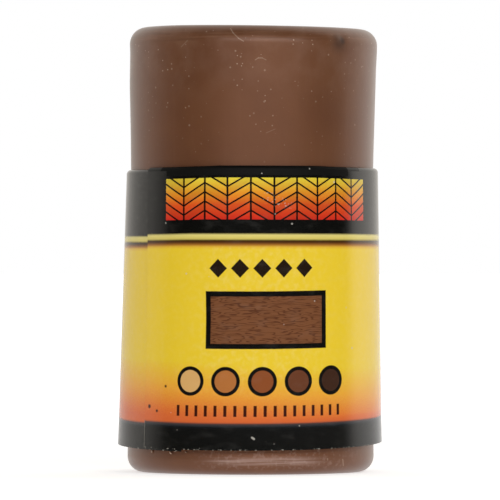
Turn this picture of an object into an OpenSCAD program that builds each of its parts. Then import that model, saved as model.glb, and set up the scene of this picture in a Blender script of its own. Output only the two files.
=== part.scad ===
// Furniture repair wax stick: a cast stick of soft wax in a loose printed film sleeve.
// The stick stands on its foot at the origin, its axis is +Z, and its front faces -Y.

/* [Wax stick] */
// Height from the foot to the working end
stick_h = 45.9; // [38:0.1:60]
// Diameter at both ends, where the side and the flat end would meet
end_d = 25.6; // [20:0.1:35]
// Depth of the waist: how far the middle lies inside the ends, on each side
waist_in = 0.4; // [0.05:0.05:0.8]
// Height of the leaning side at each end, from the flat end to the waist
draft_h = 17; // [12:0.5:18]
// Rounding of the working end's edge
top_edge_r = 1.75; // [0.5:0.05:4]
// Rounding of the foot's edge
foot_edge_r = 1.65; // [0.5:0.05:4]

/* [Label sleeve] */
// Height of the sleeve
sleeve_h = 29; // [20:0.1:36]
// Height of its lower edge above the foot, which is how far it can be pushed down
sleeve_lift = 2.5; // [0.5:0.1:6]
// Thickness of the film
film_t = 0.1; // [0.05:0.01:0.2]
// Air between the wax and the film just under the rolled-in rim
rim_gap = 0.35; // [0.2:0.01:0.8]
// Air between the wax and the film at the lower edge
hem_gap = 0.82; // [0.3:0.01:1.5]
// Air between the wax and the lip of the rolled-in rim
lip_gap = 0.08; // [0.04:0.01:0.15]

/* [Seam] */
// Width of the overlap
lap_w = 5; // [2:0.5:12]
// Depth to which the two layers are melted into each other
weld_in = 0.02; // [0.01:0.005:0.03]
// Place of the visible edge, in degrees to the left of the front
seam_angle = 54; // [0:1:180]

/* [Hidden] */
$fn = 128;

// Direction of the front, in degrees from +X
front_angle = 270;
half_turn = 180;

// Wax stick: both ends lean in to a straight waist that the sleeve hides
end_r = end_d / 2;
waist_r = end_r - waist_in;
draft_slope = waist_in / draft_h;
draft_angle = atan(draft_slope);
function side_r(z) = waist_r + draft_slope * max(0, draft_h - z, z - stick_h + draft_h);

// Distance from the axis of the centre of an edge rounding that meets the end and the leaning side
function edge_centre_r(edge_r) = end_r - edge_r * (1 + sin(draft_angle)) / cos(draft_angle);
top_centre = [edge_centre_r(top_edge_r), stick_h - top_edge_r];
foot_centre = [edge_centre_r(foot_edge_r), foot_edge_r];

// The leaning side's ends reach this far into the roundings, so that they join without a sliver
side_in = 0.0002;
top_tangent = top_centre + (top_edge_r - side_in) * [cos(draft_angle), -sin(draft_angle)];
foot_tangent = foot_centre + (foot_edge_r - side_in) * [cos(draft_angle), sin(draft_angle)];

// Rim of the sleeve: a roll just wide enough to close the gap to the wax
sleeve_top = sleeve_lift + sleeve_h;
rim_r = rim_gap + film_t;
rim_centre = [side_r(sleeve_top), sleeve_top - rim_r];
lip_turn = acos(lip_gap / rim_gap);

// Wall of the sleeve: it flares from the roll to the hem, and touches the roll's circle
hem_out = [side_r(sleeve_lift) + hem_gap + film_t, sleeve_lift];
hem_to_roll = hem_out - rim_centre;
flare = atan2(hem_to_roll.y, hem_to_roll.x) + acos(rim_r / norm(hem_to_roll));
film_across = film_t / cos(flare);
hem_in = hem_out - [film_across, 0];

// Section of the film: up the wall and over the roll to the lip, and back on the inside
roll_steps = 8;
function roll_at(i) = flare + (lip_turn - flare) * i / roll_steps;
function roll_point(i, r) = rim_centre + r * [cos(roll_at(i)), sin(roll_at(i))];
roll_out = [for (i = [0 : roll_steps]) roll_point(i, rim_r)];
roll_in = [for (i = [roll_steps : -1 : 0]) roll_point(i, rim_gap)];
film_outline = concat([hem_in, hem_out], roll_out, roll_in);

// Seam: the film winds once round and laps over its own start
lap_step = film_t - weld_in;
lap_angle = half_turn * lap_w / (PI * hem_out.x);
lap_turn = front_angle - seam_angle + lap_angle;

// Half of the stick's section
module stick_profile() {
    polygon([
        [0, 0],
        [foot_centre.x, 0],
        foot_tangent,
        [waist_r, draft_h],
        [waist_r, stick_h - draft_h],
        top_tangent,
        [top_centre.x, stick_h],
        [0, stick_h]
    ]);
    translate(foot_centre)
        circle(foot_edge_r);
    translate(top_centre)
        circle(top_edge_r);
}

// Section of the film, moved out by a step
module film_profile(step) {
    translate([step, 0])
        polygon(film_outline);
}

// Solid cast stick with rounded ends
module wax_stick() {
    color([0.46, 0.31, 0.24])
        rotate_extrude()
            stick_profile();
}

// Printed film, wound once round. Its second half turns about a shifted centre, and so steps out over its start
module label_sleeve() {
    color([0.91, 0.78, 0.23])
        rotate([0, 0, lap_turn]) {
            rotate_extrude(start = half_turn, angle = half_turn)
                film_profile(0);
            translate([lap_step / 2, 0, 0])
                rotate_extrude(start = 0, angle = half_turn)
                    film_profile(lap_step / 2);
            rotate_extrude(start = -lap_angle, angle = lap_angle)
                film_profile(lap_step);
        }
}

wax_stick();
label_sleeve();
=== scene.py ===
# %% [markdown]
# # A furniture repair wax stick
#
# The object is a short, solid stick of brown soft wax in a loose sleeve of printed film. Its exact
# solids come from the packed model. This lesson builds what the eye sees around them: a cast stick
# with soft edges, a film that is rolled in at its rim and lapped at its seam, and their finishes.

# %% Load the packed model
import math

import bmesh
import bpy
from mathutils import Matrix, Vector


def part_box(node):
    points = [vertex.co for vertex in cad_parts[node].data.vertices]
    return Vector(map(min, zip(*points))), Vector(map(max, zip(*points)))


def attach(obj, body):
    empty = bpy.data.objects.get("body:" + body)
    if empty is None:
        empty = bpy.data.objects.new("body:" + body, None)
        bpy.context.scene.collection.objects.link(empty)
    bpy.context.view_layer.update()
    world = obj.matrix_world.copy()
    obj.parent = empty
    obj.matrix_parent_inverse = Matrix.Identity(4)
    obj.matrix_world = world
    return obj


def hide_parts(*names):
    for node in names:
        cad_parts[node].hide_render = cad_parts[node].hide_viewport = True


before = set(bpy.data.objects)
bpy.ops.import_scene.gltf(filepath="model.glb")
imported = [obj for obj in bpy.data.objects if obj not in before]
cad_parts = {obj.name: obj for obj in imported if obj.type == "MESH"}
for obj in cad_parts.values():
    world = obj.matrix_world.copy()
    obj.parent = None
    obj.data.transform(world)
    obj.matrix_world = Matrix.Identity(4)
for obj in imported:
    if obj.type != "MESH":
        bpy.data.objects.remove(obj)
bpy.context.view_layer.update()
MM = 0.001
STICK_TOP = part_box("wax_stick")[1].z

# %% [markdown]
# ## The camera
#
# The photograph was taken from about stick height with a long lens: both ends of the stick are seen
# edge on and curve only a little. So the camera stands far off, level with the middle of the stick,
# and the lens is set from the width that the picture covers at the stick's axis.

# %% Camera
EYE_DISTANCE = 745 * MM
EYE_HEIGHT = 22.83 * MM
EYE_ASIDE = -0.035 * MM
PICTURE_WIDTH = 51.55 * MM
SENSOR = 36
NEAREST_SEEN = 50 * MM

bpy.ops.object.select_all(action="DESELECT")
bpy.ops.object.camera_add(
    location=(EYE_ASIDE, -EYE_DISTANCE, EYE_HEIGHT), rotation=(math.pi / 2, 0, 0)
)
camera = bpy.context.object
camera.data.sensor_width = SENSOR
camera.data.lens = SENSOR * EYE_DISTANCE / PICTURE_WIDTH
camera.data.clip_start = NEAREST_SEEN
bpy.context.scene.camera = camera
print("lens:", round(camera.data.lens), "mm")

# %% [markdown]
# ## Picking parts of a mesh
#
# By hand, the faces and edges for the next operator are clicked. Here they are picked by their
# place. Every operator works on all that is selected, so each pick starts from nothing.

# %% Helpers for edit mode
HAIR = 0.002 * MM


def activate(piece):
    """Selects one piece alone and makes it the active one, as a click does."""
    bpy.ops.object.select_all(action="DESELECT")
    piece.select_set(True)
    bpy.context.view_layer.objects.active = piece


def edit(piece):
    """Opens one piece in edit mode with nothing selected."""
    activate(piece)
    bpy.ops.object.mode_set(mode="EDIT")
    bpy.ops.mesh.select_all(action="DESELECT")


def leave_edit():
    bpy.ops.object.mode_set(mode="OBJECT")


def pick(piece, kind, test):
    """Selects the vertices, edges or faces that pass a test."""
    bpy.ops.mesh.select_all(action="DESELECT")
    bpy.context.tool_settings.mesh_select_mode = [kind == k for k in ("VERT", "EDGE", "FACE")]
    mesh = bmesh.from_edit_mesh(piece.data)
    parts = {"VERT": mesh.verts, "EDGE": mesh.edges, "FACE": mesh.faces}[kind]
    for part in parts:
        if test(part):
            part.select_set(True)
    mesh.select_flush_mode()
    bmesh.update_edit_mesh(piece.data)


def pull(move, reach, falloff):
    """Moves what is selected, and its neighbours with it, less and less up to a distance."""
    bpy.ops.transform.translate(
        value=move,
        use_proportional_edit=True,
        proportional_edit_falloff=falloff,
        proportional_size=reach,
    )


def finish_modifier(piece, modifier):
    """Applies a modifier, as the Apply button does."""
    activate(piece)
    bpy.ops.object.modifier_apply(modifier=modifier.name)


print("places count as the same within", HAIR / MM, "mm")

# %% [markdown]
# ## The cast wax stick
#
# The real stick is cast in a mould that is a little narrower in the middle, and its ends are
# rounded. A lathe profile would give it too, but a cylinder with bevelled ends keeps the flat ends
# and the straight sides apart, so that each can be shaped on its own afterwards.

# %% Cylinder with rounded ends
END_R = 12.8 * MM
TOP_EDGE = 1.75 * MM
FOOT_EDGE = 1.65 * MM
AROUND = 224
EDGE_STEPS = 12
SIDE_CUTS = 44
QUARTER_ROUND = 0.5

bpy.ops.object.select_all(action="DESELECT")
bpy.ops.mesh.primitive_cylinder_add(
    vertices=AROUND,
    radius=END_R,
    depth=STICK_TOP,
    end_fill_type="NGON",
    location=(0, 0, STICK_TOP / 2),
)
wax = bpy.context.object
wax.name = "cast_wax"
bpy.ops.object.transform_apply(location=True, rotation=True, scale=True)

edit(wax)
for level, edge_r in ((STICK_TOP, TOP_EDGE), (0, FOOT_EDGE)):
    pick(wax, "EDGE", lambda e: all(abs(v.co.z - level) < HAIR for v in e.verts))
    bpy.ops.mesh.bevel(
        offset_type="OFFSET",
        offset=edge_r,
        segments=EDGE_STEPS,
        profile=QUARTER_ROUND,
        affect="EDGES",
    )

# Rings along the straight side, whose edges are the only long upright ones
pick(wax, "EDGE", lambda e: abs(e.verts[0].co.z - e.verts[1].co.z) > STICK_TOP / 2)
bpy.ops.mesh.subdivide(number_cuts=SIDE_CUTS)
leave_edit()
print("cast_wax:", len(wax.data.polygons), "faces after rounding and ringing")

# %% [markdown]
# The stick narrows in a straight line from both ends to a waist that the sleeve hides. Each ring is
# scaled by itself, so the rounded ends keep their shape, and the side stays straight between its
# two bends. A lattice would narrow it too, but would round those bends off.

# %% Narrow the middle
WAIST_IN = 0.37 * MM
FOOT_IN = 0.09 * MM
DRAFT_H = 17 * MM


def side_r(z):
    """Radius of the leaning side at a height. The foot is a little narrower than the top."""
    above = WAIST_IN * max(0, z - STICK_TOP + DRAFT_H)
    below = (WAIST_IN - FOOT_IN) * max(0, DRAFT_H - z)
    return END_R - WAIST_IN + (above + below) / DRAFT_H


edit(wax)
ring_heights = sorted({round(v.co.z, 6) for v in bmesh.from_edit_mesh(wax.data).verts})
for height in ring_heights:
    pick(wax, "VERT", lambda v: abs(v.co.z - height) < HAIR)
    narrow = side_r(height) / END_R
    bpy.ops.transform.resize(value=(narrow, narrow, 1), center_override=(0, 0, height))
leave_edit()
print("rings:", len(ring_heights), "waist radius in mm:", round(side_r(STICK_TOP / 2) / MM, 2))

# %% [markdown]
# The ends are cast too. The working end sinks a little towards its middle, where the wax cooled
# last, and it isn't quite square to the side. The whole stick leans by a hair, as the photograph
# shows. Insets give the ends rings of their own, so that they can sink.

# %% Shape the ends
SINK = 0.04 * MM
END_RINGS = 4
END_RING_W = 2.1 * MM
OFF_SQUARE = math.radians(0.72)
HINGE = (-18.4 * MM, 0, STICK_TOP)
LEAN = 0.26 * MM

edit(wax)
for facing, sink in ((1, SINK), (-1, 0)):
    pick(wax, "FACE", lambda f: f.normal.z * facing > 0.99 and len(f.verts) == AROUND)
    for ring in range(END_RINGS):
        bpy.ops.mesh.inset(thickness=END_RING_W, depth=-sink)
    bpy.ops.mesh.poke()

pick(wax, "VERT", lambda v: v.co.z > STICK_TOP - TOP_EDGE - HAIR)
bpy.ops.transform.rotate(value=-OFF_SQUARE, orient_axis="Y", center_override=HINGE)
pick(wax, "VERT", lambda v: v.co.z > STICK_TOP - 2 * TOP_EDGE)
pull((LEAN, 0, 0), STICK_TOP, "LINEAR")
leave_edit()
print("top of the wax in mm:", round(max(v.co.z for v in wax.data.vertices) / MM, 3))

# %% [markdown]
# Use has left its marks on the working end: its edge is worn on the left and still full on the
# right, and an air bubble has opened in it as a small pit. Each is a pull with a soft falloff,
# which keeps the surface smooth. Sculpting would do too, but doesn't repeat to the same measure.

# %% Wear of the working end
# Side, height of the edge that moves, move and reach, all in mm but the side
WORN_EDGES = [(-1, 1.3, (0.11, 0, -0.05), 6), (1, 1.7, (0.07, 0, 0), 3)]
OUTERMOST = 0.9 * END_R
PIT = Vector((9.2 * MM, -8.6 * MM, 44.4 * MM))
PIT_R = 0.3 * MM
PIT_MOVE = (-0.05 * MM, 0.05 * MM, -0.01 * MM)
PIT_REACH = 0.9 * MM

edit(wax)
for hand, edge_h, move, reach in WORN_EDGES:
    pick(wax, "VERT", lambda v: hand * v.co.x > OUTERMOST and v.co.z > STICK_TOP - edge_h * MM)
    pull([c * MM for c in move], reach * MM, "SMOOTH")
pick(wax, "VERT", lambda v: (v.co - PIT).length < PIT_R)
pull(PIT_MOVE, PIT_REACH, "SMOOTH")
leave_edit()
print("top after wear in mm:", round(max(v.co.z for v in wax.data.vertices) / MM, 3))

# %% [markdown]
# A cast surface is never quite true. A Displace modifier with a cloud texture moves the side in and
# out by a few hundredths of a millimetre, which is enough to soften the reflections. A vertex group
# lets the unevenness fade out towards both ends.

# %% Uneven side
FADE = 3 * MM
CLOUD_SIZE = 7 * MM
UNEVEN_H = 0.06 * MM
UNEVEN_LEVEL = 0.55

clouds = bpy.data.textures.new("slow_clouds", "CLOUDS")
clouds.noise_scale = CLOUD_SIZE
uneven = wax.modifiers.new("uneven", "DISPLACE")
uneven.texture = clouds
uneven.texture_coords = "LOCAL"
uneven.mid_level = UNEVEN_LEVEL
uneven.strength = UNEVEN_H
side = wax.vertex_groups.new(name="side")
for v in wax.data.vertices:
    from_end = min(v.co.z, STICK_TOP - v.co.z) - FOOT_EDGE
    side.add([v.index], max(0.0, min(1.0, from_end / FADE)), "REPLACE")
uneven.vertex_group = side.name
finish_modifier(wax, uneven)
print("cast_wax:", len(wax.data.polygons), "faces")

# %% [markdown]
# Crumbs of wax stick to the side just under the sleeve, where its edge has scraped along. Each is a
# small squashed ball that is half sunk in the surface and joined to the stick.

# %% Crumbs under the sleeve
# Bearing from the front in degrees, height and size in mm
CRUMBS = [
    (-52, 2.3, 0.20),
    (-44, 2.45, 0.13),
    (-39.5, 2.2, 0.22),
    (-37, 2.4, 0.16),
    (-31, 2.3, 0.14),
    (-27, 2.35, 0.10),
    (-7, 2.4, 0.11),
    (19, 2.4, 0.12),
]
SQUASH = (1.0, 0.8, 0.65)
# The bearing also decides how each crumb has tumbled
TUMBLE_X, TUMBLE_Y = 0.4, 0.7
WAX_CREASE = math.radians(50)

crumbs = []
for bearing, height, size in CRUMBS:
    angle = math.radians(bearing)
    out = side_r(height * MM)
    bpy.ops.object.select_all(action="DESELECT")
    bpy.ops.mesh.primitive_ico_sphere_add(
        subdivisions=2,
        radius=size * MM,
        location=(out * math.sin(angle), -out * math.cos(angle), height * MM),
        rotation=(TUMBLE_X * bearing, TUMBLE_Y * bearing, angle),
        scale=SQUASH,
    )
    crumbs.append(bpy.context.object)
activate(wax)
for crumb in crumbs:
    crumb.select_set(True)
bpy.ops.object.join()
bpy.ops.object.shade_smooth_by_angle(angle=WAX_CREASE)
print("cast_wax with crumbs:", len(wax.data.polygons), "faces")

# %% [markdown]
# ## The printed sleeve
#
# The real sleeve starts as a flat printed film. It is wound round once, lapped over its own start
# and welded, and heat rolls its top edge in onto the wax. It is made here in the same order: a flat
# grid, a rolled edge, and a bend. The grid's own UV map then holds the print's place on the film,
# whatever shape the film takes.

# %% Flat film
NEUTRAL_R = 13.2 * MM
LAP_R = 13.6 * MM
SEAM = math.radians(52.1)
LAP = 5 * MM
HEM = 3.18 * MM
FILM_H = 28.37 * MM
FILM_TOP = HEM + FILM_H
ROWS = 52
COLUMNS = 216
SKEW = 0.69 * MM
SKEW_REACH = 17 * MM

turn = 2 * math.pi + LAP / LAP_R
film_left = -SEAM * NEUTRAL_R
film_w = turn * NEUTRAL_R
film_right = film_left + film_w

bpy.ops.object.select_all(action="DESELECT")
bpy.ops.mesh.primitive_grid_add(
    x_subdivisions=COLUMNS,
    y_subdivisions=ROWS,
    size=1,
    calc_uvs=True,
    rotation=(math.pi / 2, 0, 0),
)
film = bpy.context.object
film.name = "printed_film"
film.scale = (film_w, FILM_H, 1)
film.location = ((film_left + film_right) / 2, 0, HEM + FILM_H / 2)
bpy.ops.object.transform_apply(location=True, rotation=True, scale=True)
film.data.uv_layers[0].name = "film_uv"

# The end that will show was cut a little askew
edit(film)
pick(film, "VERT", lambda v: v.co.x < film_left + HAIR and v.co.z > FILM_TOP - HAIR)
pull((-SKEW, 0, 0), SKEW_REACH, "LINEAR")
leave_edit()
print("flat film in mm:", round(film_w / MM, 1), "by", round(FILM_H / MM, 2))

# %% [markdown]
# Heat makes the top edge of the real film curl in until it meets the wax. Here the grid's top row
# is cut into narrow strips, and the strips turn one after another, each about the edge of the strip
# below it. A bevel would round the edge off, and not curl it.

# %% Roll the rim in
ROLL_R = 0.45 * MM
ROLL_STEPS = 8

row_h = FILM_H / ROWS
roll_start = FILM_TOP - row_h
roll_turn = row_h / ROLL_R / ROLL_STEPS


def crosses_top_row(edge):
    """True for the upright edges of the grid's top row."""
    low, high = sorted(v.co.z for v in edge.verts)
    return high - low > row_h / 2 and (low + high) / 2 > roll_start + row_h / 2 - HAIR


edit(film)
pick(film, "EDGE", crosses_top_row)
bpy.ops.mesh.subdivide(number_cuts=ROLL_STEPS - 1)

strips = [[] for k in range(ROLL_STEPS + 1)]
for v in bmesh.from_edit_mesh(film.data).verts:
    if v.co.z > roll_start - HAIR:
        strips[round((v.co.z - roll_start) / row_h * ROLL_STEPS)].append(v.index)
for k in range(ROLL_STEPS):
    mesh = bmesh.from_edit_mesh(film.data)
    mesh.verts.ensure_lookup_table()
    pivot = mesh.verts[strips[k][0]].co.copy()
    beyond = {i for strip in strips[k + 1:] for i in strip}
    pick(film, "VERT", lambda v: v.index in beyond)
    bpy.ops.transform.rotate(value=roll_turn, orient_axis="X", center_override=pivot)
leave_edit()
print("rim rolled by", round(math.degrees(roll_turn * ROLL_STEPS)), "degrees")

# %% [markdown]
# Three small turns of the flat film decide how it will wind. Leaning it back makes the sleeve flare
# towards its lower edge. A turn seen from above makes a spiral, so that the film clears its own
# start by its thickness. A turn seen from the front makes the two edges miss each other at the
# seam, as they do on the real one. Then a Simple Deform modifier bends the film round.

# %% Three small turns and the bend
LAP_STEP = 0.11 * MM
FLARE = math.radians(1.355)
MISS = 0.2 * MM
UNDER_R = 13.555 * MM

once_round = 2 * math.pi * NEUTRAL_R
edit(film)
bpy.ops.mesh.select_all(action="SELECT")
for value, axis, centre in (
    (FLARE, "X", (0, 0, HEM)),
    (-LAP_STEP / once_round, "Z", (film_right, 0, 0)),
    (-MISS / once_round, "Y", (0, 0, HEM)),
):
    bpy.ops.transform.rotate(value=value, orient_axis=axis, center_override=centre)
bpy.ops.transform.translate(value=(0, NEUTRAL_R - UNDER_R, 0))
leave_edit()

wind = film.modifiers.new("wind", "SIMPLE_DEFORM")
wind.deform_method = "BEND"
wind.deform_axis = "Z"
ends = [v.co.x for v in film.data.vertices]
wind.angle = turn * (max(ends) - min(ends)) / film_w
finish_modifier(film, wind)
film.location = (0, -NEUTRAL_R, 0)
bpy.ops.object.transform_apply(location=True, rotation=True, scale=True)
radii = [math.hypot(v.co.x, v.co.y) / MM for v in film.data.vertices]
print("film radius in mm:", round(min(radii), 3), "to", round(max(radii), 3))

# %% [markdown]
# The film has slipped: its lower edge hangs lowest at the front, its rim sits lower on both sides,
# and the sleeve leans with the stick. All are pulls with a soft falloff, which move the film's
# neighbourhood with it.

# %% Hang
# Bearing of the middle and half the width in degrees, then drop and reach in mm
HEM_DROPS = [(-6, 4, 0.67, 19.5)]
RIM_DROPS = [(-80, 24, 0.18, 9), (78, 16, 0.11, 7)]
SWING = 0.08 * MM


def bearing_of(place):
    """Degrees from the front, to the right."""
    return math.degrees(math.atan2(place.x, -place.y))


def on_hem(v):
    return v.co.z < HEM + MISS + HAIR


def on_rim(v):
    return v.co.z > FILM_TOP - 2 * row_h


edit(film)
for on_edge, drops in ((on_hem, HEM_DROPS), (on_rim, RIM_DROPS)):
    for middle, half_w, drop, reach in drops:
        pick(film, "VERT", lambda v: on_edge(v) and abs(bearing_of(v.co) - middle) < half_w)
        pull((0, 0, -drop * MM), reach * MM, "INVERSE_SQUARE")
pick(film, "VERT", lambda v: v.co.z > FILM_TOP - 3 * row_h)
pull((LEAN * FILM_TOP / STICK_TOP, 0, 0), FILM_H, "LINEAR")
pick(film, "VERT", on_hem)
pull((-SWING, 0, 0), FILM_H, "LINEAR")
leave_edit()
print("lower edge in mm:", round(min(v.co.z for v in film.data.vertices) / MM, 3))

# %% [markdown]
# ## Finishes
#
# All finishes are built from nodes. Small helpers keep the trees readable: each adds one node or a
# few and gives back the output, so that a mask reads like a formula. A tree also keeps the colour
# that it has so far, and paints over it layer by layer.

# %% Helpers for node trees


def linear(red, green, blue):
    """A colour as a colour picker shows it, 0 to 255, as the linear colour that nodes use."""
    parts = [c / 255 for c in (red, green, blue)]
    parts = [c / 12.92 if c <= 0.04045 else ((c + 0.055) / 1.055) ** 2.4 for c in parts]
    return (*parts, 1.0)


class Tree:
    """The node tree of a material or a world, with short names for the nodes used here."""

    def __init__(self, owner, shader="Principled BSDF"):
        owner.use_nodes = True
        self.owner = owner
        self.nodes = owner.node_tree.nodes
        self.links = owner.node_tree.links
        self.shader = self.nodes[shader]
        self.colour = None

    def put(self, socket, value):
        """Gives a socket a number, a colour or the output of a node."""
        if hasattr(value, "is_output"):
            self.links.new(value, socket)
        else:
            socket.default_value = value

    def feed(self, name, value):
        """Does so with a socket of the shader."""
        self.put(self.shader.inputs[name], value)

    def add(self, kind, **settings):
        node = self.nodes.new(kind)
        for name, value in settings.items():
            setattr(node, name, value)
        return node

    def place(self):
        """Object coordinates in millimetres."""
        return self.stretch(self.add("ShaderNodeTexCoord").outputs["Object"], (1 / MM,) * 3)

    def math(self, operation, first, second=0.0):
        node = self.add("ShaderNodeMath", operation=operation)
        self.put(node.inputs[0], first)
        self.put(node.inputs[1], second)
        return node.outputs[0]

    def plus(self, first, second):
        return self.math("ADD", first, second)

    def minus(self, first, second):
        return self.math("SUBTRACT", first, second)

    def per(self, value, unit):
        return self.math("DIVIDE", value, unit)

    def most(self, first, second):
        return self.math("MAXIMUM", first, second)

    def least(self, first, second):
        return self.math("MINIMUM", first, second)

    def away(self, value, middle):
        """Distance from a number, on either side."""
        return self.math("ABSOLUTE", self.minus(value, middle))

    def times(self, *factors):
        """The product of several masks or numbers."""
        product = factors[0]
        for factor in factors[1:]:
            product = self.math("MULTIPLY", product, factor)
        return product

    def cells(self, value):
        """The whole number below a value, and how far the value is from the middle above it."""
        number = self.math("FLOOR", value)
        return number, self.minus(self.minus(value, number), 0.5)

    def vector(self, operation, first, second):
        node = self.add("ShaderNodeVectorMath", operation=operation)
        self.put(node.inputs[0], first)
        self.put(node.inputs[1], second)
        return node.outputs["Value" if operation in ("DISTANCE", "DOT_PRODUCT") else "Vector"]

    def stretch(self, vector, factors):
        """Multiplies each axis. A pattern is drawn out along an axis with a small factor."""
        return self.vector("MULTIPLY", vector, factors)

    def shift(self, vector, move):
        return self.vector("ADD", vector, move)

    def split(self, vector):
        node = self.add("ShaderNodeSeparateXYZ")
        self.put(node.inputs[0], vector)
        return node.outputs[0], node.outputs[1], node.outputs[2]

    def rise(self, value, low, high):
        """0 below low, 1 above high, smooth in between. Falls where low is above high."""
        node = self.add("ShaderNodeMapRange", interpolation_type="SMOOTHSTEP")
        self.put(node.inputs["Value"], value)
        if low < high:
            ends = (low, high, 0.0, 1.0)
        else:
            ends = (high, low, 1.0, 0.0)
        for name, end in zip(("From Min", "From Max", "To Min", "To Max"), ends):
            node.inputs[name].default_value = end
        return node.outputs["Result"]

    def between(self, value, low, high, soft):
        """1 between two numbers, with soft ends."""
        rising = self.rise(value, low - soft, low + soft)
        return self.times(rising, self.rise(value, high + soft, high - soft))

    def mix(self, mask, under, over):
        node = self.add("ShaderNodeMix", data_type="RGBA")
        self.put(node.inputs["Factor"], mask)
        self.put(node.inputs[6], under)
        self.put(node.inputs[7], over)
        return node.outputs[2]

    def paint(self, over, *masks):
        """Lays a colour over the colour so far, where all the masks let it."""
        self.colour = self.mix(self.times(*masks), self.colour, over)

    def noise(self, vector, scale, detail=2.0):
        node = self.add("ShaderNodeTexNoise")
        self.put(node.inputs["Vector"], vector)
        node.inputs["Scale"].default_value = scale
        node.inputs["Detail"].default_value = detail
        return node.outputs["Fac"]

    def near(self, vector, centre, radius, soft):
        """A soft disc or ball round a place."""
        return self.rise(self.vector("DISTANCE", vector, centre), radius + soft, radius - soft)

    def stroke(self, vector, start, end, width):
        """A thin straight line from one place to another."""
        along = tuple(b - a for a, b in zip(start, end))
        length = sum(c * c for c in along)
        offset = self.vector("SUBTRACT", vector, start)
        share = self.vector("DOT_PRODUCT", offset, tuple(c / length for c in along))
        scaled = self.add("ShaderNodeVectorMath", operation="SCALE")
        scaled.inputs[0].default_value = along
        self.put(scaled.inputs["Scale"], self.least(self.most(share, 0.0), 1.0))
        return self.rise(self.vector("DISTANCE", offset, scaled.outputs[0]), width, width * 0.3)

    def specks(self, vector, scale, radius, chance):
        """Small dots in some of the cells of a Voronoi pattern."""
        dots = self.add("ShaderNodeTexVoronoi")
        self.put(dots.inputs["Vector"], vector)
        dots.inputs["Scale"].default_value = scale
        lots = self.add("ShaderNodeSeparateColor")
        self.put(lots.inputs[0], dots.outputs["Color"])
        size = self.math("MULTIPLY", lots.outputs[1], radius)
        inside = self.rise(self.minus(size, dots.outputs["Distance"]), -0.02, 0.03)
        return self.times(inside, self.rise(lots.outputs[0], 1 - chance, 1.0 - chance * 0.6))

    def ramp(self, value, stops):
        """A Color Ramp node, from pairs of a place and a colour."""
        node = self.add("ShaderNodeValToRGB")
        self.put(node.inputs["Fac"], value)
        elements = node.color_ramp.elements
        while len(elements) < len(stops):
            elements.new(1.0)
        for element, (at, colour) in zip(elements, stops):
            element.position = at
            element.color = colour
        return node.outputs["Color"]

    def bump(self, height, distance, strength):
        node = self.add("ShaderNodeBump")
        self.put(node.inputs["Height"], height)
        node.inputs["Distance"].default_value = distance
        node.inputs["Strength"].default_value = strength
        self.feed("Normal", node.outputs["Normal"])

    def tell(self):
        print(self.owner.name + ":", len(self.nodes), "nodes")


print("shorthand:", ", ".join(name for name in vars(Tree) if not name.startswith("_")))

# %% [markdown]
# ### Soft wax
#
# The wax is satin, a little translucent, and soft enough to hold dust. So it gets two browns that
# drift into each other, faint upright streaks, and paler patches near the working end. All of it is
# placed by Object coordinates in millimetres, which need no unwrapping.

# %% Wax colour
BROWN = linear(87, 50, 25)
LIGHTER_BROWN = linear(93, 55, 28)

wax_tree = Tree(bpy.data.materials.new("soft_wax"))
place = wax_tree.place()
x, y, z = wax_tree.split(place)
front = wax_tree.rise(y, 0.0, -3.0)
drift = wax_tree.noise(place, 0.16, 3)
wax_tree.colour = wax_tree.mix(wax_tree.rise(drift, 0.35, 0.65), BROWN, LIGHTER_BROWN)
streaks = wax_tree.noise(wax_tree.stretch(place, (1.0, 1.0, 0.06)), 1.4, 3)
wax_tree.paint(linear(104, 66, 44), wax_tree.rise(streaks, 0.5, 0.75), 0.15)

# Paler patches near the working end
patches = wax_tree.rise(wax_tree.noise(place, 0.5, 4), 0.3, 0.75)
wax_tree.paint(linear(146, 120, 104), wax_tree.rise(z, 36.0, 43.5), patches, 0.14)
wax_tree.tell()

# %% [markdown]
# The foot is scuffed from standing and sliding, and over the scuffs a highlight is painted along
# its rounded edge, with painted light just under the sleeve. Pale and dark streaks run round the
# upper edge. Noise that is squeezed along the stick's axis is drawn out round it, which gives both
# the streaks and the scuffs.

# %% Streaks round the upper edge, scuffs and painted light on the foot
# Pale of the scuffs, also used for the highlight painted along the foot's rounded edge
SCUFF_AND_HIGHLIGHT = linear(186, 163, 154)

# Pale and dark streaks on the upper rounded edge
edge_streaks = wax_tree.noise(wax_tree.stretch(place, (0.14, 0.14, 4.0)), 1.0, 2)
upper = wax_tree.between(z, 44.1, 45.2, 0.25)
wax_tree.paint(linear(128, 92, 70), upper, wax_tree.rise(edge_streaks, 0.52, 0.7), 0.3)
wax_tree.paint(linear(58, 34, 19), upper, wax_tree.rise(edge_streaks, 0.46, 0.3), 0.36)

# The foot: painted light low on the front, then drawn-out scuffs and a mottle, both partly a
# painted highlight
# Painted light: the wax is lightened low on the front, just under the sleeve's edge
painted_light_low = wax_tree.times(wax_tree.rise(z, 3.6, 2.0), wax_tree.rise(x, -9.0, -4.0))
wax_tree.paint(linear(150, 106, 88), painted_light_low, 0.07)
# Painted highlight, partly real scuffs: pale streaks drawn out along the foot's rounded edge
scuff_and_highlight_streaks = wax_tree.noise(wax_tree.stretch(place, (0.1, 0.1, 3.2)), 1.3, 3)
wax_tree.paint(
    SCUFF_AND_HIGHLIGHT,
    wax_tree.between(z, 1.0, 1.7, 0.35),
    wax_tree.between(x, -3.6, 6.4, 2.4),
    wax_tree.plus(wax_tree.times(wax_tree.rise(scuff_and_highlight_streaks, 0.44, 0.64), 0.4), 0.16),
    front,
)
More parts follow.
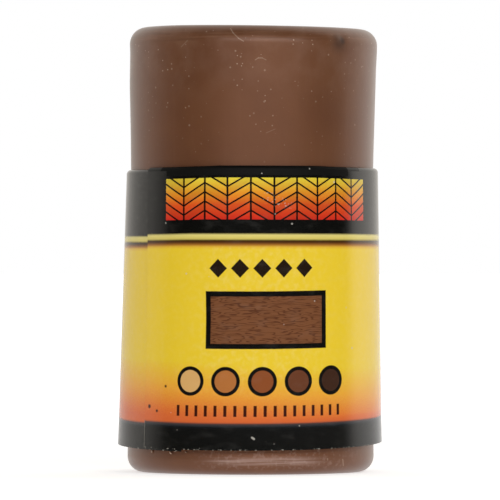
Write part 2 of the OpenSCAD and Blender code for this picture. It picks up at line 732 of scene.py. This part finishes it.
# Painted highlight, partly real scuffs: a pale mottle over the foot
wax_tree.paint(
    SCUFF_AND_HIGHLIGHT,
    wax_tree.rise(wax_tree.noise(place, 2.4, 4), 0.5, 0.68),
    wax_tree.between(z, 0.6, 2.7, 0.3),
    wax_tree.between(x, -4.5, 10.0, 2.5),
    0.17,
)
wax_tree.tell()

# %% [markdown]
# Dust sticks to soft wax, thickest near the working end, and lint lies on it in short threads.
# Three fields of Voronoi dots give dust of three sizes, and each thread is a chain of straight
# strokes. Modelled dust would need thousands of faces for what is seen as a dot.

# %% Dust, lint and marks on the wax
PALE = linear(186, 166, 146)
# Ends as x and z, then width and strength
THREADS = [
    ((-2.0, 45.3), (-1.75, 44.85), 0.07, 0.4),
    ((-1.75, 44.85), (-1.2, 44.3), 0.07, 0.34),
    ((-1.2, 44.3), (-0.7, 44.0), 0.08, 0.3),
    ((0.5, 42.1), (0.8, 42.3), 0.07, 0.3),
    ((0.8, 42.3), (1.2, 42.3), 0.07, 0.34),
    ((1.2, 42.3), (1.6, 42.1), 0.06, 0.26),
    ((1.6, 34.7), (2.5, 35.1), 0.06, 0.14),
    ((-7.0, 43.5), (-6.4, 44.1), 0.09, 0.12),
    ((9.42, 1.5), (9.48, 0.85), 0.08, 0.35),
    ((7.84, 1.6), (7.86, 1.48), 0.1, 0.3),
]

coarse = wax_tree.specks(place, 1.3, 0.15, 0.2)
fine = wax_tree.specks(wax_tree.shift(place, (7, 3, 5)), 2.1, 0.17, 0.3)
faint = wax_tree.times(wax_tree.specks(wax_tree.shift(place, (2, 9, 4)), 1.7, 0.2, 0.5), 0.55)
dust = wax_tree.most(wax_tree.most(coarse, fine), faint)
wax_tree.paint(PALE, dust, wax_tree.rise(z, 27.0, 45.0), 0.6)

# The crumbs stand out from the side, and are dusty too
from_axis = wax_tree.vector("DISTANCE", wax_tree.stretch(place, (1, 1, 0)), (0, 0, 0))
at_crumbs = wax_tree.between(z, 1.9, 2.8, 0.05)
wax_tree.paint(PALE, wax_tree.rise(from_axis, 12.72, 12.8), at_crumbs, 0.75)

seen_flat = wax_tree.stretch(place, (1, 0, 1))
for (x0, z0), (x1, z1), width, strength in THREADS:
    thread = wax_tree.stroke(seen_flat, (x0, 0, z0), (x1, 0, z1), width)
    wax_tree.paint(PALE, thread, front, strength)

# Darker round the pit, and painted shade in the pit itself
wax_tree.paint(linear(26, 14, 7), wax_tree.near(place, (8.8, -9.0, 43.9), 0.7, 0.9), 0.75)
# Painted shade: near black inside the shallow pit
wax_tree.paint(linear(8, 4, 2), wax_tree.near(place, (9.2, -8.65, 44.1), 0.35, 0.25))
wax_tree.feed("Base Color", wax_tree.colour)
wax_tree.tell()

# %% [markdown]
# Wax shines softly and in its own brown, under a weak colourless gloss from handling. So the shader
# gets a tinted specular under a thin coat, and a trace of subsurface scattering. A fine bump breaks
# up the shine.

# %% Wax surface
WAX_SHINE = {
    "IOR": 1.5,
    "Specular IOR Level": 0.88,
    "Specular Tint": (1.0, 0.52, 0.36, 1.0),
    "Coat Weight": 1.0,
    "Coat Roughness": 0.3,
    "Coat IOR": 1.25,
    "Subsurface Weight": 0.08,
    "Subsurface Radius": (1.0, 0.45, 0.25),
    "Subsurface Scale": 0.5 * MM,
}
WAX_BUMP_H = 0.03 * MM

for name, value in WAX_SHINE.items():
    wax_tree.feed(name, value)
wax_tree.feed("Roughness", wax_tree.plus(wax_tree.times(drift, 0.06), 0.47))
wax_tree.bump(wax_tree.noise(place, 2.2, 4), WAX_BUMP_H, 0.4)
wax.data.materials.clear()
wax.data.materials.append(wax_tree.owner)
wax_tree.tell()

# %% [markdown]
# ### Printed film
#
# The print is read from the film's UV map, in millimetres: u runs round the sleeve from the front,
# and v up from the lower edge. One colour ramp along v gives the bands, and masks add the ornament:
# a strip of parquet, a row of diamonds, a swatch of the shade and a chart of other shades.

# %% Bands of the print
FILM_MM = FILM_H / MM
BLACK = linear(11, 11, 9)
YELLOW = linear(232, 199, 48)
# Height on the film and colour
BANDS = [
    (0.0, BLACK),
    (2.17, linear(13, 14, 13)),
    (2.37, linear(24, 30, 34)),
    (2.54, linear(56, 54, 58)),
    (2.67, linear(84, 62, 56)),
    (2.81, linear(212, 100, 50)),
    (3.71, linear(221, 117, 51)),
    (5.71, linear(231, 162, 55)),
    (8.51, YELLOW),
    (19.74, YELLOW),
    (19.99, linear(222, 174, 54)),
    (20.15, linear(172, 116, 42)),
    (20.35, linear(104, 60, 24)),
    (20.52, linear(64, 40, 12)),
    (20.68, linear(72, 54, 16)),
    (20.75, linear(212, 194, 96)),
    (21.24, linear(226, 212, 128)),
    (21.31, BLACK),
    (FILM_MM, BLACK),
]


def film_place(tree):
    """The place on the flat film in millimetres, from its left end and its lower edge."""
    uv = tree.add("ShaderNodeUVMap", uv_map="film_uv").outputs["UV"]
    return tree.stretch(uv, (film_w / MM, FILM_MM, 0))


print_tree = Tree(bpy.data.materials.new("printed_face"))
spot = print_tree.shift(film_place(print_tree), (film_left / MM, 0, 0))
u, v = print_tree.split(spot)[:2]
print("bands:", len(BANDS), "stops over", round(FILM_MM, 2), "mm")

# %% [markdown]
# The orange fades into the yellow in fine specks, a little higher on one side than on the other.
# The ramp alone would fade it smoothly, so the height is shifted by noise before it reaches the
# ramp. Thin places in the ink let the pale film through, most of all in the middle of the front.

# %% Speckled fade and thin ink
FADE_V = (3.2, 9.0)
FADE_SPECKS = 1.6
FADE_TILT = 0.7
ORANGE_FROM = 2.9

grain = print_tree.noise(spot, 6.0, 2)
speckled = print_tree.times(print_tree.minus(grain, 0.5), FADE_SPECKS)
tilted = print_tree.times(print_tree.math("SINE", print_tree.per(u, NEUTRAL_R / MM)), FADE_TILT)
in_fade = print_tree.between(v, *FADE_V, 0.4)
shifted = print_tree.times(print_tree.plus(speckled, tilted), in_fade)
# The shift may not reach the black below the orange
raised = print_tree.most(print_tree.plus(v, shifted), print_tree.least(v, ORANGE_FROM))
stops = [(at / FILM_MM, colour) for at, colour in BANDS]
print_tree.colour = print_tree.ramp(print_tree.per(raised, FILM_MM), stops)

thin = print_tree.rise(print_tree.noise(spot, 1.7, 6), 0.4, 0.72)
in_middle = print_tree.between(u, -5.0, 6.5, 3.0)
print_tree.paint(
    linear(238, 222, 150),
    thin,
    print_tree.rise(v, 4.0, 9.0),
    print_tree.rise(v, 20.2, 19.8),
    print_tree.plus(print_tree.times(in_middle, 0.14), 0.06),
)
print_tree.tell()

# %% [markdown]
# The upper band shows a parquet floor in a chevron: columns of planks that slope up in one column
# and down in the next. Counting columns, then planks along the slope, gives every plank a number,
# and White Noise turns the number into a shade of its own.

# %% Parquet in the upper band
COLUMN_W = 2.33
COLUMN_COUNT = 10
PARQUET_U = -9.3
PARQUET_V = (22.75, 27.0)
PLANK_H = 0.95
PLANK_SLOPE = 0.6
PLANK_SHIFT = -0.18
JOINT_W = 0.1
WARM_WOODS = [
    (0.0, linear(206, 40, 30)),
    (0.35, linear(222, 84, 32)),
    (0.65, linear(228, 150, 40)),
    (1.0, linear(228, 210, 64)),
]

column, in_column = print_tree.cells(print_tree.per(print_tree.minus(u, PARQUET_U), COLUMN_W))
odd = print_tree.math("FLOORED_MODULO", column, 2.0)
upward = print_tree.minus(1.0, print_tree.times(odd, 2.0))
slope = print_tree.times(in_column, upward, COLUMN_W * PLANK_SLOPE)
raised = print_tree.plus(v, print_tree.plus(slope, PLANK_SHIFT))
plank, in_plank = print_tree.cells(print_tree.per(raised, PLANK_H))

number = print_tree.add("ShaderNodeCombineXYZ")
print_tree.put(number.inputs[0], column)
print_tree.put(number.inputs[1], plank)
lot = print_tree.add("ShaderNodeTexWhiteNoise", noise_dimensions="2D")
print_tree.put(lot.inputs["Vector"], number.outputs[0])
share = print_tree.per(print_tree.minus(v, PARQUET_V[0]), PARQUET_V[1] - PARQUET_V[0])
wood = print_tree.ramp(share, WARM_WOODS)
wood = print_tree.mix(print_tree.times(lot.outputs["Value"], 0.3), wood, linear(120, 46, 20))

from_joint = []
for in_cell, cell_size in ((in_column, COLUMN_W), (in_plank, PLANK_H)):
    to_edge = print_tree.minus(0.5, print_tree.math("ABSOLUTE", in_cell))
    from_joint.append(print_tree.times(to_edge, cell_size))
print_tree.paint(
    wood,
    print_tree.rise(print_tree.least(*from_joint), JOINT_W * 0.6, JOINT_W * 1.4),
    print_tree.between(u, PARQUET_U, PARQUET_U + COLUMN_COUNT * COLUMN_W, 0.02),
    print_tree.between(v, *PARQUET_V, 0.03),
)
print_tree.tell()

# %% [markdown]
# Below it, on the yellow, stand a row of dark diamonds and a framed swatch of the wax's shade. The
# sum of two distances from a centre draws a diamond, and the larger of the two draws a rectangle.
# Both stay sharp at any size, where a picture would not.

# %% Diamonds and swatch
DARK = linear(34, 22, 12)
DIAMOND_W = 2.2
DIAMOND_U = (-4.4, 6.6)
DIAMOND_V = 17.9
SWATCH = (1.7, 12.9)
FRAME_HALF = (6.3, 2.8)
FACE_HALF = (5.8, 2.3)
GROWTH_RINGS = 9.0


def slab(centre, half_w, half_h):
    """A sharp rectangle of the print."""
    aside = print_tree.minus(print_tree.away(u, centre[0]), half_w)
    above = print_tree.minus(print_tree.away(v, centre[1]), half_h)
    return print_tree.rise(print_tree.most(aside, above), 0.04, -0.04)


in_diamond = print_tree.cells(print_tree.per(u, DIAMOND_W))[1]
aside = print_tree.times(print_tree.math("ABSOLUTE", in_diamond), DIAMOND_W)
lozenge = print_tree.plus(aside, print_tree.away(v, DIAMOND_V))
in_row = print_tree.between(u, *DIAMOND_U, 0.02)
print_tree.paint(DARK, print_tree.rise(lozenge, 0.95, 0.85), in_row)

# The swatch: a dark frame and a walnut face with its own growth rings
print_tree.paint(BLACK, slab(SWATCH, *FRAME_HALF))
growth = print_tree.noise(print_tree.stretch(spot, (0.16, 1.0, 1.0)), 1.6, 2)
ring = print_tree.math("FRACT", print_tree.times(growth, GROWTH_RINGS))
ring = print_tree.between(ring, 0.35, 0.65, 0.15)
walnut = print_tree.mix(ring, linear(120, 76, 48), linear(88, 52, 32))
print_tree.paint(walnut, slab(SWATCH, *FACE_HALF))
print_tree.tell()

# %% [markdown]
# A chart of five wood shades and a row of ticks close the ornament. The dots are one dot that
# repeats: rounding the place along the row gives each dot's number, and the number picks its shade
# from a ramp.

# %% Chart of shades and ticks
PITCH = 3.7
CHART = (1.2, 6.9)
DOTS_EACH_SIDE = 2.0
TICKS_U = (-8.0, 10.0)
TICKS_V = (3.4, 4.5)
SHADES = [
    (0.0, linear(214, 168, 104)),
    (0.25, linear(176, 110, 56)),
    (0.5, linear(138, 76, 40)),
    (0.75, linear(104, 60, 38)),
    (1.0, linear(62, 38, 26)),
]

along = print_tree.per(print_tree.minus(u, CHART[0]), PITCH)
dot = print_tree.math("ROUND", along)
aside = print_tree.times(print_tree.minus(along, dot), PITCH)
above = print_tree.minus(v, CHART[1])
squares = print_tree.plus(print_tree.times(aside, aside), print_tree.times(above, above))
from_dot = print_tree.math("SQRT", squares)
in_chart = print_tree.between(dot, -DOTS_EACH_SIDE - 0.5, DOTS_EACH_SIDE + 0.5, 0.01)
share = print_tree.per(print_tree.plus(dot, DOTS_EACH_SIDE), 2 * DOTS_EACH_SIDE)
print_tree.paint(BLACK, print_tree.rise(from_dot, 1.5, 1.42), in_chart)
shade = print_tree.ramp(share, SHADES)
print_tree.paint(shade, print_tree.rise(from_dot, 1.14, 1.06), in_chart)

tick = print_tree.between(print_tree.math("FRACT", u), 0.34, 0.66, 0.05)
in_row = print_tree.between(u, *TICKS_U, 0.02)
print_tree.paint(linear(60, 22, 10), tick, in_row, print_tree.between(v, *TICKS_V, 0.04))
print_tree.tell()

# %% [markdown]
# Wear comes last, on top of the ink: dust, a nick, a scratch, dark specks by the seam, and places
# where the ink has flaked off the film's cut edges.

# %% Wear of the print
LINT = linear(196, 192, 182)
BARE_FILM = linear(168, 164, 152)
# Place on the film and radius
DARK_SPECKS = [((-11.3, 4.2, 0), 0.2), ((-10.2, 3.8, 0), 0.14), ((-9.1, 6.3, 0), 0.13)]

print_tree.paint(LINT, print_tree.specks(spot, 1.2, 0.16, 0.12), 0.55)
smear = print_tree.noise(print_tree.stretch(spot, (0.5, 1.0, 1.0)), 1.1, 5)
print_tree.paint(LINT, print_tree.rise(smear, 0.5, 0.8), 0.02)
print_tree.paint(LINT, print_tree.stroke(spot, (0.22, 1.32, 0), (0.42, 1.18, 0), 0.15), 0.7)
scratch = print_tree.stroke(spot, (1.7, 25.0, 0), (3.6, 24.3, 0), 0.75)
crumbled = print_tree.rise(print_tree.noise(spot, 4.5, 2), 0.58, 0.66)
print_tree.paint(LINT, scratch, crumbled, 0.55)
grime = print_tree.rise(print_tree.noise(spot, 2.5, 4), 0.35, 0.8)
print_tree.paint(LINT, print_tree.rise(u, 56.0, 68.0), grime, 0.03)
for speck_at, speck_r in DARK_SPECKS:
    print_tree.paint(linear(56, 30, 18), print_tree.near(spot, speck_at, speck_r, 0.08))

seam_u = film_left / MM
chips = print_tree.noise(spot, 2.6, 3)
at_hem = print_tree.times(print_tree.rise(v, 0.13, 0.06), print_tree.rise(chips, 0.54, 0.62), 0.8)
at_seam = print_tree.times(
    print_tree.rise(u, seam_u + 0.1, seam_u + 0.03),
    print_tree.rise(v, 2.9, 2.6),
    print_tree.rise(chips, 0.2, 0.5),
    0.5,
)
print_tree.paint(BARE_FILM, print_tree.most(at_hem, at_seam), 0.8)
print_tree.feed("Base Color", print_tree.colour)
print_tree.tell()

# %% [markdown]
# The film is glossy, a little less so where it is smeared, and not quite flat, so that its
# reflections waver. A weak bump that is drawn out upwards does that. The back of the film is bare
# and pale, and has a plain finish of its own.

# %% Gloss of the film, and its back
RIPPLE_H = 0.02 * MM
BACK_ROUGHNESS = 0.35

gloss = print_tree.plus(print_tree.times(grain, 0.06), 0.09)
smeared = print_tree.times(print_tree.rise(smear, 0.45, 0.8), 0.06)
print_tree.feed("Roughness", print_tree.plus(gloss, smeared))
ripple = print_tree.noise(print_tree.stretch(spot, (1.0, 0.25, 1.0)), 0.6, 2)
print_tree.bump(ripple, RIPPLE_H, 0.25)
print_tree.tell()

back_tree = Tree(bpy.data.materials.new("film_back"))
cloudy = back_tree.noise(back_tree.place(), 0.8, 2)
back_tree.feed("Base Color", back_tree.mix(cloudy, linear(150, 146, 134), linear(186, 182, 172)))
back_tree.feed("Roughness", BACK_ROUGHNESS)
back_tree.tell()

# %% [markdown]
# The rolled rim is rubbed dull at the front, and less so towards the ends of that stretch. So its
# faces there get a dull black of their own in two steps. Solidify will take the next slot for the
# inner side of each face, so the film's back follows the print and both blacks.

# %% Dull rim
PRINT_SLOT, RIM_SLOT, RIM_END_SLOT = 0, 2, 4
# Rows below the top edge, bearings from and to, and the slot. The first that fits counts
DULL_STRETCHES = [
    (1.1, -45, 50, RIM_SLOT),
    (1.1, -54, 58, RIM_END_SLOT),
    (2.1, -41, 49, RIM_SLOT),
]


def rubbed_black(name, roughness, sheen):
    """A black film with flecks, dulled by rubbing."""
    tree = Tree(bpy.data.materials.new(name))
    flecks = tree.times(tree.specks(film_place(tree), 1.6, 0.2, 0.25), 0.6)
    tree.feed("Base Color", tree.mix(flecks, BLACK, LINT))
    tree.feed("Roughness", roughness)
    tree.feed("Specular IOR Level", sheen)
    tree.tell()
    return tree


rim_tree = rubbed_black("shrunk_rim", 0.6, 0.12)
rim_end_tree = rubbed_black("rim_end", 0.35, 0.3)
film.data.materials.clear()
for tree in (print_tree, back_tree, rim_tree, back_tree, rim_end_tree, back_tree):
    film.data.materials.append(tree.owner)
film_uv = film.data.uv_layers["film_uv"].data


def finish_of(face):
    """The slot of a face, by its row on the film and its bearing."""
    rows_below_top = (1 - min(film_uv[i].uv.y for i in face.loop_indices)) * ROWS
    bearing = bearing_of(face.center)
    for rows, left, right, slot in DULL_STRETCHES:
        if rows_below_top < rows and left < bearing < right:
            return slot
    return PRINT_SLOT


for face in film.data.polygons:
    face.material_index = finish_of(face)
print("dull faces along the rim:", sum(f.material_index > 0 for f in film.data.polygons))

# %% [markdown]
# The film has had no thickness so far, which kept every bend simple. Solidify now adds it on the
# inside, and gives the inner side the slot after that of the outer one. The cut edges keep the
# outer side's slot, as the ink of the real film runs to its edge.

# %% Thickness
FILM_T = 0.1 * MM
FILM_CREASE = math.radians(40)

thick = film.modifiers.new("thick", "SOLIDIFY")
thick.thickness = FILM_T
thick.offset = -1
thick.use_even_offset = True
thick.material_offset = 1
thick.material_offset_rim = 0
finish_modifier(film, thick)
bpy.ops.object.shade_smooth_by_angle(angle=FILM_CREASE)
print("printed_film:", len(film.data.polygons), "faces")

# %% [markdown]
# ## Stand the pieces on their bodies
#
# Each piece moves with a body of the packed model and stands for one of its solids.

# %% Ride and replace
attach(wax, "stick")
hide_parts("wax_stick")
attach(film, "sleeve")
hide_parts("label_sleeve")

# %% [markdown]
# ## Floor and light
#
# The photograph has a white ground, a soft lamp in front of the stick, and a dark room behind the
# camera with white screens behind the stick. The film shows the screens along both its sides. The
# floor is one large disc just under the stick, so that no edge of it comes into the picture.

# %% Floor
FLOOR_R = 6.0
FLOOR_SIDES = 96
FLOOR_DOWN = 10 * HAIR

bpy.ops.object.select_all(action="DESELECT")
bpy.ops.mesh.primitive_circle_add(
    vertices=FLOOR_SIDES, radius=FLOOR_R, fill_type="NGON", location=(0, 0, -FLOOR_DOWN)
)
floor = bpy.context.object
floor.name = "floor"
print("floor:", FLOOR_R, "m")

# %% [markdown]
# The floor is pale, and glows a little for the camera, more so further away, so that it ends in
# white and still keeps the stick's shadow. Light Path tells the camera's rays from mirrored ones,
# so the film can show a darker floor in front of the stick than behind it, as the real one does.

# %% Floor finish
PALE_GREY = (0.8, 0.8, 0.8, 1)
DIM_GREY = (0.45, 0.45, 0.45, 1)
WHITE = (1, 1, 1, 1)
TABLE_GLOW = 0.6

floor_tree = Tree(bpy.data.materials.new("pale_floor"))
floor_tree.feed("Roughness", 0.9)
floor_tree.feed("Specular IOR Level", 0.0)
floor_place = floor_tree.add("ShaderNodeTexCoord").outputs["Object"]
floor_x, floor_y = floor_tree.split(floor_place)[:2]
from_stick = floor_tree.vector("DISTANCE", floor_place, (0, 0, 0))
ray = floor_tree.add("ShaderNodeLightPath").outputs
mirrored = floor_tree.most(ray["Is Glossy Ray"], ray["Is Transmission Ray"])

# In the film, the floor in front of the stick is dim, and the floor behind it is lit
dim_front = floor_tree.times(mirrored, floor_tree.rise(floor_y, 0.03, -0.01))
floor_tree.feed("Base Color", floor_tree.mix(dim_front, PALE_GREY, DIM_GREY))
lit = floor_tree.plus(floor_tree.times(floor_tree.rise(floor_x, 0.0, 0.03), 0.25), 0.4)
lit_behind = floor_tree.times(mirrored, floor_tree.rise(floor_y, 0.0, 0.1), lit)
seen = floor_tree.most(ray["Is Camera Ray"], lit_behind)
glow = floor_tree.plus(floor_tree.times(floor_tree.rise(from_stick, 0.03, 0.3), 0.45), 0.55)

# The floor round the stick glows, and so lights the stick from below like a lamp
unmirrored = floor_tree.minus(1.0, mirrored)
wide = floor_tree.times(floor_tree.rise(from_stick, 0.35, 0.15), unmirrored)
table = floor_tree.most(wide, floor_tree.rise(from_stick, 0.06, 0.03))
table = floor_tree.times(table, TABLE_GLOW)
floor_tree.feed("Emission Color", WHITE)
floor_tree.feed("Emission Strength", floor_tree.most(floor_tree.times(seen, glow), table))
floor.data.materials.append(floor_tree.owner)
floor_tree.tell()

# %% [markdown]
# The world holds the room by direction: a ramp along the bearing from the front gives the dark room
# and the two screens. The camera sees plain white in its place.

# %% World
# Bearing from the front in degrees, and brightness
SCREENS = [
    (-180, 0.85),
    (-112, 0.78),
    (-102, 0.76),
    (-92, 0.56),
    (-86, 0.4),
    (-80, 0.1),
    (-74, 0.02),
    (94, 0.02),
    (100, 0.5),
    (104, 1.05),
    (108, 1.27),
    (114, 1.38),
    (126, 1.25),
    (140, 1.1),
    (180, 0.85),
]
WARM_WHITE = (1.0, 0.95, 0.88)

world = bpy.data.worlds.new("studio")
bpy.context.scene.world = world
sky = Tree(world, "Background")
sky_x, sky_y = sky.split(sky.add("ShaderNodeTexCoord").outputs["Generated"])[:2]
heading = sky.math("ARCTAN2", sky_x, sky.times(sky_y, -1))
once = sky.per(sky.plus(heading, math.pi), 2 * math.pi)
stops = [((at + 180) / 360, [level * c for c in WARM_WHITE] + [1]) for at, level in SCREENS]
seen = sky.add("ShaderNodeLightPath").outputs["Is Camera Ray"]
sky.feed("Color", sky.mix(seen, sky.ramp(once, stops), WHITE))
print("world:", len(SCREENS), "stops round the horizon")

# %% [markdown]
# The lamp is a wide, low softbox in front of the stick, a little to the right and above. Its width
# gives the broad soft highlight on the wax and the film. The camera doesn't see the lamp itself.

# %% Lamp
LAMP_AT = (0.1, -0.61, 0.249)
LAMP_W = 0.9
LAMP_H = 0.2
LAMP_WATTS = 2.95

bpy.ops.object.light_add(type="AREA", location=LAMP_AT)
lamp = bpy.context.object
lamp.name = "front_lamp"
lamp.data.shape = "RECTANGLE"
lamp.data.size = LAMP_W
lamp.data.size_y = LAMP_H
lamp.data.energy = LAMP_WATTS
lamp.visible_camera = False
aim = Vector((0, 0, STICK_TOP / 2)) - lamp.location
lamp.rotation_mode = "QUATERNION"
lamp.rotation_quaternion = aim.to_track_quat("-Z", "Y")
print("lamp at", LAMP_AT)

# %% [markdown]
# ## Colours as written
#
# The Standard view shows a colour as it is written.

# %% Finish
bpy.context.scene.view_settings.view_transform = "Standard"
